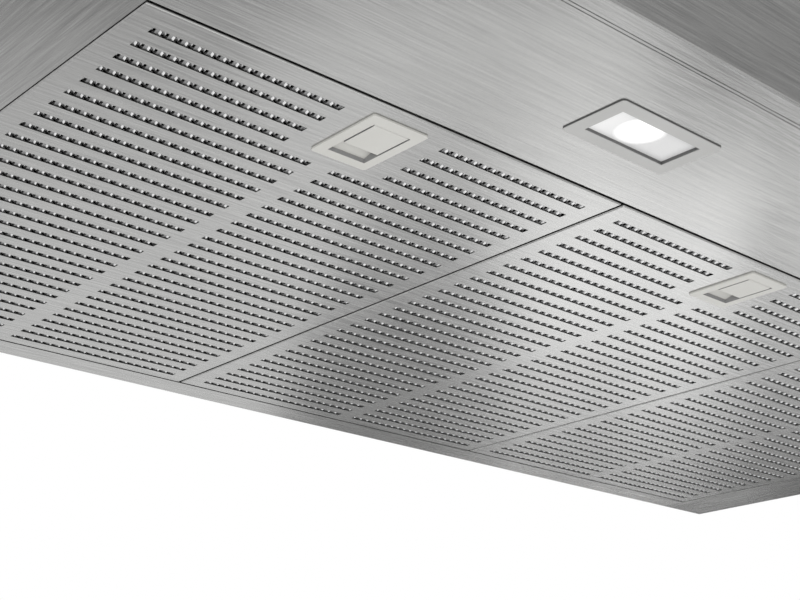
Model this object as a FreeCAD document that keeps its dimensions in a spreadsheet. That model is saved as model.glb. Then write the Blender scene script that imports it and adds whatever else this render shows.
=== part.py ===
import FreeCAD, Part
import math
import os
import re

import Sketcher

# Wall mount range hood: a flat box canopy with three hinged grease filters, a light panel, a blower
# and a telescoping chimney.
# x runs across the hood from its middle, y = 0 is the wall and the front faces -y,
# z = 0 is the underside and +z is up.

doc = FreeCAD.newDocument("range_hood")
sheet = doc.addObject("Spreadsheet::Sheet", "sizes")

# Driving sizes in millimetres
SIZES = {
    # canopy box
    "hood_width": 900,
    "hood_depth": 510,
    "canopy_height": 70,
    "gauge": 1,
    "bend_radius": 0.8,
    "side_rim": 52.5,
    "rear_rim": 20.8,
    "rim_return": 10,
    "front_lip": 10.3,
    "ledge_depth": 14,
    # light panel
    "panel_step": 2.2,
    "panel_line": 0.4,
    "panel_depth": 98.8,
    "panel_return": 12,
    # clearances
    "seat_gap": 0.3,
    "fit_gap": 0.25,
    "running_gap": 0.05,
    "filter_joint": 1.7,
    "hinge_joint": 1.2,
    "filter_spacing": 1.6,
    # grease filters
    "filter_height": 10,
    "filter_sheet": 0.5,
    "fold_radius": 0.7,
    "mesh_depth": 3,
    "back_border": 22,
    "back_web": 10,
    "tab_width": 24,
    "tab_spread": 160,
    "tab_length": 9,
    # slots in the filter faces
    "slot_width": 4,
    "slot_pitch": 12.45,
    "slot_front": 14.7,
    "slot_rear": 11.5,
    "slot_side": 11.2,
    "slot_web": 12,
    "slot_latch": 12.5,
    # filter latches
    "latch_width": 31,
    "latch_length": 43,
    "latch_proud": 1,
    "latch_height": 7,
    "latch_setback": 8.7,
    "latch_frame": 6.3,
    "latch_rear_frame": 5.95,
    "latch_side_frame": 5.125,
    "latch_flange": 2,
    "latch_corner": 1.5,
    "latch_edge": 0.4,
    "recess_rear_depth": 2.2,
    "recess_depth": 6,
    "recess_length": 14.75,
    "paddle_gap": 1,
    "paddle_length": 20.75,
    "paddle_thickness": 2,
    "nose_radius": 1.8,
    "trunnion_radius": 1.2,
    "trunnion_reach": 2.6,
    "tongue_width": 12,
    "tongue_low": 5,
    "tongue_thickness": 2,
    "tongue_play": 0.8,
    "tongue_gap": 0.4,
    "arm_thickness": 2.4,
    # lamps
    "lamp_spread": 360.4,
    "lamp_width": 66,
    "lamp_length": 34.7,
    "lamp_proud": 0.8,
    "lamp_corner": 2,
    "lamp_edge": 0.3,
    "lamp_flange": 3.3,
    "lamp_neck": 6,
    "lamp_body_height": 18,
    "lamp_wall": 1.5,
    "lamp_side_border": 7.2,
    "lamp_end_border": 6.75,
    "window_depth": 1.9,
    "lens_margin": 1.5,
    "lens_thickness": 2,
    "board_thickness": 1.6,
    "led_width": 40,
    "led_length": 16,
    "led_radius": 5,
    "led_height": 1.5,
    # controls in the front panel
    "control_rise": 35,
    "control_width": 144,
    "control_height": 20,
    "control_proud": 0.8,
    "control_flange": 3,
    "control_neck": 4,
    "control_depth": 19,
    "control_wall": 1.5,
    "control_margin": 4,
    "button_width": 20,
    "button_height": 10,
    "button_pitch": 25,
    "button_proud": 1.5,
    "button_travel": 1.8,
    "button_lip": 0.8,
    "button_edge": 0.5,
    "stem_radius": 2,
    "switch_size": 6,
    "switch_height": 3.5,
    # supply box and cable gland
    "cable_radius": 4.5,
    "gland_wall": 3,
    "gland_step": 1.5,
    "gland_nut_height": 5,
    "gland_reach": 8,
    "gland_room": 0.5,
    "supply_y": -80,
    "supply_depth": 90,
    "supply_height": 60,
    "supply_wall": 2,
    "supply_gap": 1.5,
    "wire_hole": 5,
    "terminal_width": 14,
    "terminal_depth": 40,
    "terminal_height": 16,
    # blower box and hanging holes
    "fan_front_room": 24,
    "fan_height": 275,
    "air_border": 11,
    "hang_spacing": 180,
    "hang_low": 45,
    "hang_high": 300,
    "hang_radius": 4,
    # blower
    "scroll_rise": 135,
    "scroll_width": 150,
    "scroll_wall": 2,
    "scroll_gap": 11,
    "scroll_room": 7,
    "cutoff_offset": 33,
    "inlet_radius": 66,
    "impeller_radius": 85,
    "impeller_side_gap": 3,
    "impeller_ring": 3,
    "impeller_disc": 4,
    "blade_depth": 13,
    "blade_thickness": 1.2,
    "blade_count": 36,
    "hub_radius": 12,
    "hub_length": 24,
    "shaft_radius": 4,
    "shaft_length": 76,
    "motor_radius": 42,
    "motor_length": 80,
    "motor_gap": 1,
    "motor_ring": 5,
    "spoke_width": 10,
    # outlet
    "collar_radius": 74.5,
    "collar_wall": 1.5,
    "collar_height": 45,
    "collar_lip": 7.5,
    "collar_flange_thickness": 2,
    "damper_rise": 26,
    "damper_offset": 3,
    "damper_thickness": 1.5,
    "damper_gap": 0.6,
    "damper_pin": 1.5,
    "damper_reach": 0.9,
    # chimney covers
    "chimney_width": 320,
    "chimney_depth": 280,
    "chimney_lower_height": 400,
    "chimney_upper_height": 569,
    "chimney_return": 15,
    "chimney_foot": 11,
    "slide_gap": 0.6,
    "vent_length": 120,
    "vent_width": 4,
    "vent_pitch": 12,
    "vent_count": 6,
    "vent_drop": 40,
    "bracket_height": 25,
    "bracket_drop": 12,
    "bracket_inset": 5,
    "bracket_spacing": 200,
    "bracket_hole": 3,
    # screws
    "screw_radius": 1.9,
    "screw_hole": 2.1,
    "screw_head": 3.5,
    "screw_head_height": 2.2,
    "screw_length": 6,
    "screw_gap": 0.4,
    "screw_spread": 140,
    "collar_screw_inset": 9,
}

# Places and sizes worked out from the driving ones
DERIVED = {
    "half_width": "hood_width / 2",
    "lip_end": "front_lip - hood_depth",
    "panel_front": "lip_end + panel_step",
    "panel_rear": "panel_front + panel_depth",
    "filter_front": "panel_rear + filter_joint",
    "filter_rear": "-(rear_rim + hinge_joint)",
    "filter_length": "filter_rear - filter_front",
    "bay_half": "half_width - side_rim",
    "filter_pitch": "2 * bay_half / 3",
    "filter_half": "(filter_pitch - filter_spacing) / 2",
    "mesh_top": "filter_sheet + mesh_depth",
    "tab_level": "gauge + seat_gap",
    "slot_first": "filter_front + slot_front",
    "slot_rows": "floor((filter_length - slot_front - slot_rear) / slot_pitch) + 1",
    "bezel_front": "filter_front + latch_setback",
    "bezel_rear": "bezel_front + latch_length",
    "slot_short_rows": "floor((bezel_rear + slot_pitch / 2 - slot_first) / slot_pitch) + 1",
    "opening_front": "bezel_front + latch_frame",
    "opening_rear": "bezel_rear - latch_rear_frame",
    "opening_width": "latch_width - 2 * latch_side_frame",
    "paddle_width": "opening_width - 2 * paddle_gap",
    "paddle_front": "opening_front + fit_gap",
    "paddle_rear": "paddle_front + paddle_length",
    "pivot_y": "paddle_front + nose_radius",
    "pivot_z": "nose_radius - latch_proud",
    "tongue_high": "tongue_low + tongue_thickness",
    "tongue_tip": "panel_rear + tongue_gap",
    "lamp_y": "(panel_front + panel_rear) / 2",
    "lens_level": "window_depth - lamp_proud",
    "window_width": "lamp_width - 2 * lamp_side_border",
    "window_length": "lamp_length - 2 * lamp_end_border",
    "front_face": "-hood_depth",
    "control_inside": "front_face + gauge",
    "control_back": "control_inside + control_depth",
    "board_front": "control_back - control_wall - board_thickness",
    "stem_end": "board_front - switch_height - button_travel - fit_gap",
    "top_under": "canopy_height - gauge",
    "chimney_half": "chimney_width / 2",
    "upper_inset": "gauge + slide_gap",
    "upper_low": "canopy_height + gauge",
    "upper_top": "upper_low + chimney_upper_height",
    "screw_x": "chimney_half - upper_inset - gauge - screw_head - screw_gap",
    "screw_y": "-chimney_depth / 2",
    "gland_radius": "cable_radius + gland_wall",
    "gland_nut": "gland_radius + gland_step",
    "supply_width": "2 * (gland_radius + gland_room + supply_wall)",
    "supply_top": "canopy_height + supply_height",
    "fan_half": "chimney_half - gauge - chimney_foot - supply_width - 2 * supply_gap",
    "fan_depth": "chimney_depth - fan_front_room",
    "fan_top": "canopy_height + fan_height",
    "gland_x": "fan_half + supply_gap + supply_width / 2",
    "gland_y": "supply_y + supply_depth / 2 - 2 * gland_nut",
    "scroll_y": "-fan_depth / 2",
    "scroll_z": "canopy_height + scroll_rise",
    "scroll_small": "impeller_radius + scroll_gap",
    "scroll_large": "fan_depth / 2 - scroll_wall - scroll_room",
    "scroll_top": "fan_top - gauge",
    "impeller_width": "scroll_width - 2 * impeller_side_gap",
    "outlet_y": "scroll_y + (cutoff_offset - scroll_large) / 2",
    "collar_bore": "collar_radius - collar_wall",
    "collar_flange": "2 * (collar_radius + collar_lip)",
    "collar_screw_spread": "collar_flange - 2 * collar_screw_inset",
    "damper_z": "fan_top + damper_rise",
    "motor_start": "hub_length / 2 + motor_gap",
}

NAMES = list(SIZES) + list(DERIVED)
for row, (alias, value) in enumerate(SIZES.items(), start=1):
    sheet.set(f"A{row}", alias)
    sheet.set(f"B{row}", str(value))
    sheet.setAlias(f"B{row}", alias)
for row, (alias, formula) in enumerate(DERIVED.items(), start=1):
    sheet.set(f"D{row}", alias)
    sheet.set(f"E{row}", "=" + formula)
    sheet.setAlias(f"E{row}", alias)
doc.recompute()

subparts = []


def tied(formula):
    """A formula in size names, as an expression on the sheet's cells."""
    return re.sub(r"[a-z]\w*", lambda word: "sizes." * (word[0] in NAMES) + word[0], str(formula))


def size(alias):
    return float(sheet.get(alias))


def keep(solid, label):
    """Name a finished sub-part."""
    solid.Label = label
    subparts.append(solid)
    return solid


def around(centre, width):
    """Low and high formulas of a stretch about its middle."""
    return f"{centre} - ({width}) / 2", f"{centre} + ({width}) / 2"


def rectangle(x, y):
    """Corner formulas of a rectangle, from its low and high formulas along each axis."""
    return [(x[0], y[0]), (x[1], y[0]), (x[1], y[1]), (x[0], y[1])]


# Sketched bodies


def new_body(name, x="0", y="0", z="0"):
    body = doc.addObject("PartDesign::Body", name)
    for axis, formula in zip("xyz", (x, y, z)):
        body.setExpression(f"Placement.Base.{axis}", tied(formula))
    return body


def origin_feature(body, role):
    return next(feature for feature in body.Origin.OriginFeatures if feature.Role == role)


def new_sketch(body, plane, offset):
    sketch = body.newObject("Sketcher::SketchObject", "sketch")
    sketch.AttachmentSupport = [(origin_feature(body, plane), "")]
    sketch.MapMode = "FlatFace"
    sketch.setExpression("AttachmentOffset.Base.z", tied(offset))
    return sketch


def place_point(sketch, geometry, position, point):
    """Tie one point of a sketch to two formulas."""
    for kind, formula in zip(("DistanceX", "DistanceY"), point):
        constraint = sketch.addConstraint(Sketcher.Constraint(kind, -1, 1, geometry, position, 1.0))
        sketch.setExpression(f"Constraints[{constraint}]", tied(formula))


def add_loop(sketch, points):
    """A closed outline of straight sides through tied corners."""
    first = sketch.GeometryCount
    count = len(points)
    circle = [FreeCAD.Vector(math.cos(a), math.sin(a), 0) for a in
              (2 * math.pi * i / count for i in range(count))]
    for i in range(count):
        sketch.addGeometry(Part.LineSegment(circle[i], circle[(i + 1) % count]))
    for i in range(count):
        sketch.addConstraint(Sketcher.Constraint("Coincident", first + i, 2, first + (i + 1) % count, 1))
    for i, point in enumerate(points):
        place_point(sketch, first + i, 1, point)


def add_circle(sketch, centre, radius):
    circle = sketch.addGeometry(Part.Circle(FreeCAD.Vector(1, 1, 0), FreeCAD.Vector(0, 0, 1), 1.0))
    place_point(sketch, circle, 3, centre)
    constraint = sketch.addConstraint(Sketcher.Constraint("Radius", circle, 1.0))
    sketch.setExpression(f"Constraints[{constraint}]", tied(radius))


def add_feature(body, kind, length, loops=(), circles=(), plane="XY_Plane", offset="0", symmetric=False,
                reverse=False):
    """A pad or pocket of outlines and circles drawn on one of the body's planes."""
    sketch = new_sketch(body, plane, offset)
    for points in loops:
        add_loop(sketch, points)
    for centre, radius in circles:
        add_circle(sketch, centre, radius)
    feature = body.newObject("PartDesign::" + kind, kind.lower())
    feature.Profile = sketch
    feature.setExpression("Length", tied(length))
    if symmetric:
        feature.SideType = "Symmetric"
    feature.Reversed = reverse
    doc.recompute()
    return feature


def pad(body, length, **drawing):
    return add_feature(body, "Pad", length, **drawing)


def pocket(body, length, **drawing):
    """A pocket, which has to take material away."""
    before = body.Shape.Volume
    feature = add_feature(body, "Pocket", length, **drawing)
    if body.Shape.Volume >= before:
        raise RuntimeError(f"{body.Name}: a pocket cuts nothing")
    return feature


def repeat_along_y(body, feature, pitch, count):
    """Copies of a pocket towards the wall."""
    pattern = body.newObject("PartDesign::LinearPattern", "pattern")
    pattern.Originals = [feature]
    pattern.Direction = (origin_feature(body, "Y_Axis"), [""])
    pattern.Mode = "Spacing"
    pattern.setExpression("Offset", tied(pitch))
    pattern.setExpression("Occurrences", tied(count))
    body.Tip = pattern
    doc.recompute()


def round_edges(body, radius, wanted):
    """Fillet the edges whose box satisfies a test."""
    base = body.Tip
    names = [f"Edge{i}" for i, edge in enumerate(base.Shape.Edges, start=1) if wanted(edge.BoundBox)]
    fillet = body.newObject("PartDesign::Fillet", "fillet")
    fillet.Base = (base, names)
    fillet.setExpression("Radius", tied(radius))
    doc.recompute()


def near(a, b):
    return abs(a - b) < 1e-4


def flat_at(low, high, level):
    return near(low, level) and near(high, level)


# Plain blocks and rounds


def box(name, x, y, z):
    """A block between a low and a high formula along each axis."""
    solid = doc.addObject("Part::Box", name)
    for length, axis, (low, high) in zip(("Length", "Width", "Height"), "xyz", (x, y, z)):
        solid.setExpression(length, tied(f"({high}) - ({low})"))
        solid.setExpression(f"Placement.Base.{axis}", tied(low))
    return solid


TURNS = {
    "x": FreeCAD.Rotation(FreeCAD.Vector(0, 1, 0), 90),
    "y": FreeCAD.Rotation(FreeCAD.Vector(1, 0, 0), -90),
    "z": FreeCAD.Rotation(),
}


def rod(name, along, radius, length, base):
    """A cylinder along one axis from a base point of three formulas."""
    solid = doc.addObject("Part::Cylinder", name)
    solid.Placement = FreeCAD.Placement(FreeCAD.Vector(), TURNS[along])
    solid.setExpression("Radius", tied(radius))
    solid.setExpression("Height", tied(length))
    for axis, formula in zip("xyz", base):
        solid.setExpression(f"Placement.Base.{axis}", tied(formula))
    return solid


def fuse(name, *solids):
    joined = doc.addObject("Part::MultiFuse", name)
    joined.Shapes = list(solids)
    return joined


def cut(name, solid, *tools):
    result = doc.addObject("Part::Cut", name)
    result.Base = solid
    result.Tool = tools[0] if len(tools) == 1 else fuse(name + "_tools", *tools)
    return result


def group(name, *solids):
    together = doc.addObject("Part::Compound", name)
    together.Links = list(solids)
    return together


SIDES = {"left": -1, "right": 1}
FILTERS = {"left": -1, "middle": 0, "right": 1}
BUTTONS = {"off": -2, "low": -1, "medium": 0, "high": 1, "light": 2}
DAMPERS = {"front": -1, "rear": 1}


# Canopy


def canopy_side(side, sign):
    """Side wall, bottom rim and the rim's upturned inner edge, folded from one sheet."""
    body = new_body("canopy_side_" + side)
    outline = [
        (f"{sign} * half_width", "0"),
        (f"{sign} * half_width", "canopy_height"),
        (f"{sign} * (half_width - gauge)", "canopy_height"),
        (f"{sign} * (half_width - gauge)", "gauge"),
        (f"{sign} * (bay_half + gauge)", "gauge"),
        (f"{sign} * (bay_half + gauge)", "rim_return"),
        (f"{sign} * bay_half", "rim_return"),
        (f"{sign} * bay_half", "0"),
    ]
    pad(body, "-lip_end", loops=[outline], plane="XZ_Plane")
    edge_x = sign * size("half_width")
    round_edges(body, "bend_radius", lambda b: flat_at(b.ZMin, b.ZMax, 0) and flat_at(b.XMin, b.XMax, edge_x))
    keep(body, "canopy_side_" + side)


def hanging_holes(level):
    return [((f"{sign} * hang_spacing / 2", level), "hang_radius") for sign in SIDES.values()]


def canopy_back():
    """Wall sheet with its bottom rim and the lower hanging holes."""
    body = new_body("canopy_back")
    pad(body, "2 * (half_width - gauge)", plane="YZ_Plane", symmetric=True,
        loops=[rectangle(("-gauge", "0"), ("gauge", "canopy_height"))])
    pad(body, "2 * bay_half", plane="YZ_Plane", symmetric=True,
        loops=[rectangle(("-rear_rim", "0"), ("0", "gauge"))])
    pocket(body, "2 * gauge", circles=hanging_holes("hang_low"), plane="XZ_Plane", reverse=True)
    keep(body, "canopy_back")


def front_panel():
    """Front pan with its lip, the raised ledge that carries the light panel, its bead and the control cut-out."""
    body = new_body("front_panel")
    pad(body, "front_lip", plane="XZ_Plane", offset="-lip_end",
        loops=[rectangle(("-half_width", "half_width"), ("0", "canopy_height"))])
    face = size("front_face")
    round_edges(body, "bend_radius", lambda b: flat_at(b.YMin, b.YMax, face))
    pocket(body, "front_lip - gauge", plane="XZ_Plane", offset="-lip_end", reverse=True,
           loops=[rectangle(("gauge - half_width", "half_width - gauge"), ("gauge", "top_under"))])
    pad(body, "2 * (bay_half - seat_gap)", plane="YZ_Plane", symmetric=True,
        loops=[rectangle(("lip_end - gauge", "lip_end + ledge_depth"), ("gauge", "2 * gauge"))])
    pad(body, "2 * (bay_half - seat_gap)", plane="YZ_Plane", symmetric=True,
        loops=[rectangle(("lip_end + panel_line", "panel_front - panel_line"), ("0", "gauge"))])
    cutout = rectangle(around("0", "control_width - 2 * control_flange"),
                       around("control_rise", "control_height - 2 * control_flange"))
    pocket(body, "hood_depth", plane="XZ_Plane", offset="-lip_end", reverse=True, loops=[cutout])
    keep(body, "front_panel")


def light_panel():
    """Lamp sheet ahead of the filters, with its upturned rear edge and a catch slot for each latch."""
    body = new_body("light_panel")
    outline = [
        ("panel_front", "0"),
        ("panel_rear", "0"),
        ("panel_rear", "panel_return"),
        ("panel_rear - gauge", "panel_return"),
        ("panel_rear - gauge", "gauge"),
        ("panel_front", "gauge"),
    ]
    pad(body, "2 * (bay_half - seat_gap)", loops=[outline], plane="YZ_Plane", symmetric=True)
    rear = size("panel_rear")
    round_edges(body, "bend_radius", lambda b: flat_at(b.ZMin, b.ZMax, 0) and flat_at(b.YMin, b.YMax, rear))
    spare = "2 * lamp_flange - 2 * fit_gap"
    lamp_holes = [rectangle(around(f"{sign} * lamp_spread / 2", f"lamp_width - ({spare})"),
                            around("lamp_y", f"lamp_length - ({spare})"))
                  for sign in SIDES.values()]
    pocket(body, "2 * gauge", loops=lamp_holes, reverse=True)
    catches = [rectangle(around(f"{place} * filter_pitch", "tongue_width + 2 * tongue_play"),
                         ("tongue_low - tongue_play", "tongue_high + tongue_play"))
               for place in FILTERS.values()]
    pocket(body, "2 * gauge", loops=catches, plane="XZ_Plane", offset="-panel_rear", reverse=True)
    keep(body, "light_panel")


def screw_places():
    """Where the lower chimney cover is screwed to the canopy."""
    return [(f"{x} * screw_x", f"screw_y + {y} * screw_spread / 2") for x in (-1, 1) for y in (-1, 1)]


def canopy_top():
    """Top sheet with the air opening under the blower, the wire hole and the screw holes."""
    body = new_body("canopy_top")
    pad(body, "gauge", offset="top_under",
        loops=[rectangle(("gauge - half_width", "half_width - gauge"), ("lip_end", "-gauge"))])
    air_way = rectangle(("air_border - fan_half", "fan_half - air_border"),
                        ("air_border - fan_depth", "-air_border"))
    holes = [(place, "screw_hole") for place in screw_places()]
    holes.append((("gland_x", "gland_y"), "wire_hole"))
    pocket(body, "2 * gauge", offset="top_under", reverse=True, loops=[air_way], circles=holes)
    keep(body, "canopy_top")


# Grease filters


def latch_zone(margin):
    """The rectangle round a latch body, larger by a margin."""
    return rectangle(around("0", f"latch_width - 2 * latch_flange + 2 * {margin}"),
                     (f"bezel_front + latch_flange - {margin}", f"bezel_rear - latch_flange + {margin}"))


def tongue_way(y):
    return rectangle(around("0", "tongue_width + 2 * tongue_play"), y)


def slot_pair(inner):
    """The two slots of the first row, from a distance off the middle to the side margin."""
    y = around("slot_first", "slot_width")
    outer = "filter_half - slot_side"
    return [rectangle((f"-({outer})", f"-({inner})"), y), rectangle((inner, outer), y)]


def shifted(points, distance):
    """The same corners further back."""
    return [(x, f"{y} + {distance}") for x, y in points]


def filter_face(name, place):
    """Slotted tray with folded edges, hooked over the rear rim by two tabs."""
    body = new_body("filter_face_" + name, x=f"{place} * filter_pitch")
    outside = rectangle(("-filter_half", "filter_half"), ("filter_front", "filter_rear"))
    pad(body, "filter_height", loops=[outside])
    height = size("filter_height")
    round_edges(body, "fold_radius", lambda b: flat_at(b.ZMin, b.ZMax, 0) or near(b.ZLength, height))
    inside = rectangle(("filter_sheet - filter_half", "filter_half - filter_sheet"),
                       ("filter_front + filter_sheet", "filter_rear - filter_sheet"))
    pocket(body, "filter_height", offset="filter_sheet", loops=[inside], reverse=True)
    tabs = [rectangle(around(f"{sign} * tab_spread / 2", "tab_width"),
                      ("filter_rear - filter_sheet", "filter_rear + tab_length"))
            for sign in SIDES.values()]
    pad(body, "filter_sheet", offset="tab_level", loops=tabs)
    pocket(body, "2 * filter_sheet", loops=[latch_zone("fit_gap")], reverse=True)
    pocket(body, "filter_height", offset="tongue_low - tongue_play", reverse=True,
           loops=[tongue_way(("filter_front - filter_sheet", "filter_front + 2 * filter_sheet"))])
    short = pocket(body, "2 * filter_sheet", loops=slot_pair("latch_width / 2 + slot_latch"), reverse=True)
    repeat_along_y(body, short, "slot_pitch", "slot_short_rows")
    long_row = [shifted(points, "slot_short_rows * slot_pitch") for points in slot_pair("slot_web / 2")]
    full = pocket(body, "2 * filter_sheet", loops=long_row, reverse=True)
    repeat_along_y(body, full, "slot_pitch", "slot_rows - slot_short_rows")
    keep(body, "filter_face_" + name)


def filter_mesh(name, place):
    """Pack of expanded metal that lies in the tray, open around the latch and its tongue."""
    body = new_body("filter_mesh_" + name, x=f"{place} * filter_pitch")
    inset = "(filter_sheet + seat_gap)"
    pad(body, "mesh_depth", offset="filter_sheet",
        loops=[rectangle((f"{inset} - filter_half", f"filter_half - {inset}"),
                         (f"filter_front + {inset}", f"filter_rear - {inset}"))])
    pocket(body, "2 * mesh_depth", loops=[latch_zone("latch_flange")], reverse=True)
    pocket(body, "2 * mesh_depth", loops=[tongue_way(("filter_front", "bezel_rear - latch_flange"))],
           offset="filter_sheet", reverse=True)
    keep(body, "filter_mesh_" + name)


def filter_back(name, place):
    """Frame that holds the mesh down in the tray, with two webs and a gap at the latch."""
    body = new_body("filter_back_" + name, x=f"{place} * filter_pitch")
    half = "(filter_half - filter_sheet - fit_gap)"
    front = "(filter_front + filter_sheet + fit_gap)"
    rear = "(filter_rear - filter_sheet - fit_gap)"
    pad(body, "filter_sheet", offset="mesh_top", loops=[rectangle((f"-{half}", half), (front, rear))])
    bay = f"(2 * ({half} - back_border) - 2 * back_web) / 3"
    windows = [rectangle(around(f"{step} * ({bay} + back_web)", bay),
                         (f"{front} + back_border", f"{rear} - back_border")) for step in (-1, 0, 1)]
    pocket(body, "2 * filter_sheet", offset="mesh_top", loops=windows, reverse=True)
    latch_gap = rectangle(around("0", "latch_width"), (f"{front} - back_border", f"{front} + back_border"))
    pocket(body, "2 * filter_sheet", offset="mesh_top", reverse=True, loops=[latch_gap])
    keep(body, "filter_back_" + name)


def latch_bezel(name, place):
    """Moulded latch frame with its finger recess and the bearings of the paddle."""
    body = new_body("latch_bezel_" + name, x=f"{place} * filter_pitch")
    pad(body, "latch_proud", offset="-latch_proud",
        loops=[rectangle(around("0", "latch_width"), ("bezel_front", "bezel_rear"))])
    proud = size("latch_proud")
    round_edges(body, "latch_corner", lambda b: near(b.ZLength, proud))
    round_edges(body, "latch_edge", lambda b: flat_at(b.ZMin, b.ZMax, -proud))
    pad(body, "latch_height", loops=[latch_zone("0")])
    cavity = [
        ("opening_front", "-2 * latch_proud"),
        ("opening_front", "2 * latch_height"),
        ("opening_rear - recess_length", "2 * latch_height"),
        ("opening_rear - recess_length", "recess_depth - latch_proud"),
        ("opening_rear", "recess_rear_depth - latch_proud"),
        ("opening_rear", "-2 * latch_proud"),
    ]
    pocket(body, "opening_width", loops=[cavity], plane="YZ_Plane", symmetric=True)
    pocket(body, "latch_height", offset="tongue_low - tongue_play", reverse=True,
           loops=[tongue_way(("bezel_front", "opening_front + latch_flange"))])
    pocket(body, "opening_width + 2 * trunnion_reach", plane="YZ_Plane", symmetric=True,
           circles=[(("pivot_y", "pivot_z"), "trunnion_radius + running_gap")])
    keep(body, "latch_bezel_" + name)


def latch_paddle(name, place):
    """Finger paddle that turns on two trunnions and draws its tongue back from the catch."""
    body = new_body("latch_paddle_" + name, x=f"{place} * filter_pitch")
    pad(body, "paddle_width", plane="YZ_Plane", symmetric=True,
        loops=[rectangle(("pivot_y", "paddle_rear"), ("-latch_proud", "paddle_thickness - latch_proud"))])
    rear, proud = size("paddle_rear"), size("latch_proud")
    round_edges(body, "latch_edge",
                lambda b: flat_at(b.YMin, b.YMax, rear) and flat_at(b.ZMin, b.ZMax, -proud))
    pivot = ("pivot_y", "pivot_z")
    pad(body, "paddle_width", plane="YZ_Plane", symmetric=True, circles=[(pivot, "nose_radius")])
    arm = [
        ("pivot_y + arm_thickness / 2", "pivot_z"),
        ("pivot_y + arm_thickness / 2", "tongue_high"),
        ("tongue_tip", "tongue_high"),
        ("tongue_tip", "tongue_low"),
        ("pivot_y - arm_thickness / 2", "tongue_low"),
        ("pivot_y - arm_thickness / 2", "pivot_z"),
    ]
    pad(body, "tongue_width", loops=[arm], plane="YZ_Plane", symmetric=True)
    pad(body, "opening_width + 2 * trunnion_reach - 2 * fit_gap", plane="YZ_Plane", symmetric=True,
        circles=[(pivot, "trunnion_radius")])
    keep(body, "latch_paddle_" + name)


# Lamps


def lamp_outline(width, length):
    return rectangle(around("0", width), around("0", length))


NECK = lamp_outline("lamp_width - 2 * lamp_flange", "lamp_length - 2 * lamp_flange")


def new_lamp_body(name, sign):
    return new_body(name, x=f"{sign} * lamp_spread / 2", y="lamp_y")


def lamp_bezel(side, sign):
    """Square lamp frame with its window and the seat of the lens."""
    body = new_lamp_body("lamp_bezel_" + side, sign)
    pad(body, "lamp_proud", offset="-lamp_proud", loops=[lamp_outline("lamp_width", "lamp_length")])
    proud = size("lamp_proud")
    round_edges(body, "lamp_corner", lambda b: near(b.ZLength, proud))
    round_edges(body, "lamp_edge", lambda b: flat_at(b.ZMin, b.ZMax, -proud))
    pad(body, "lamp_neck", loops=[NECK])
    pocket(body, "2 * lamp_neck", offset="-lamp_proud", reverse=True,
           loops=[lamp_outline("window_width", "window_length")])
    pocket(body, "lamp_neck", offset="lens_level", reverse=True,
           loops=[lamp_outline("window_width + 2 * lens_margin", "window_length + 2 * lens_margin")])
    keep(body, "lamp_bezel_" + side)


def lamp_lens(side, sign):
    """Frosted window that lies on the seat in the lamp frame."""
    body = new_lamp_body("lamp_lens_" + side, sign)
    pad(body, "lens_thickness", offset="lens_level",
        loops=[lamp_outline("window_width + 2 * (lens_margin - fit_gap)",
                            "window_length + 2 * (lens_margin - fit_gap)")])
    keep(body, "lamp_lens_" + side)


def lamp_body(side, sign):
    """Closed lamp housing on the frame's neck."""
    body = new_lamp_body("lamp_body_" + side, sign)
    pad(body, "lamp_body_height", offset="lamp_neck", loops=[NECK])
    pocket(body, "lamp_body_height - lamp_wall", offset="lamp_neck", reverse=True,
           loops=[lamp_outline("window_width + 2 * lens_margin", "window_length + 2 * lens_margin")])
    keep(body, "lamp_body_" + side)


def lamp_led(side, sign):
    """Light-emitting diode on its board under the housing's roof."""
    body = new_lamp_body("lamp_led_" + side, sign)
    roof = "lamp_neck + lamp_body_height - lamp_wall - board_thickness"
    pad(body, "board_thickness", offset=roof, loops=[lamp_outline("led_width", "led_length")])
    pad(body, "led_height", offset=f"{roof} - led_height", circles=[(("0", "0"), "led_radius")])
    keep(body, "lamp_led_" + side)


# Controls


def control_outline(step, width, height):
    return rectangle(around(f"{step} * button_pitch", width), around("control_rise", height))


def control_bezel():
    """Button frame set in the front panel."""
    body = new_body("control_bezel")
    pad(body, "control_proud", plane="XZ_Plane", offset="hood_depth",
        loops=[control_outline(0, "control_width", "control_height")])
    face = size("front_face") - size("control_proud")
    round_edges(body, "button_edge", lambda b: flat_at(b.YMin, b.YMax, face))
    neck_shrink = "2 * control_flange + 2 * fit_gap"
    pad(body, "control_neck", plane="XZ_Plane", offset="hood_depth", reverse=True,
        loops=[control_outline(0, f"control_width - ({neck_shrink})", f"control_height - ({neck_shrink})")])
    windows = [control_outline(step, "button_width + 2 * fit_gap", "button_height + 2 * fit_gap")
               for step in BUTTONS.values()]
    pocket(body, "hood_depth", plane="XZ_Plane", offset="hood_depth + control_proud", loops=windows)
    keep(body, "control_bezel")


def button(name, step):
    """Push button with a retaining lip behind the frame and a stem for its switch."""
    body = new_body("button_" + name)
    neck_end = "(hood_depth - control_neck - seat_gap)"
    crown = "hood_depth + control_proud + button_proud"
    pad(body, f"{crown} - {neck_end}", plane="XZ_Plane", offset=neck_end,
        loops=[control_outline(step, "button_width", "button_height")])
    face = size("front_face") - size("control_proud") - size("button_proud")
    round_edges(body, "button_edge", lambda b: flat_at(b.YMin, b.YMax, face))
    pad(body, "button_lip", plane="XZ_Plane", offset=neck_end, reverse=True,
        loops=[control_outline(step, "button_width + 2 * button_lip", "button_height + 2 * button_lip")])
    pad(body, f"{neck_end} + stem_end", plane="XZ_Plane", offset=neck_end, reverse=True,
        circles=[((f"{step} * button_pitch", "control_rise"), "stem_radius")])
    keep(body, "button_" + name)


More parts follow.
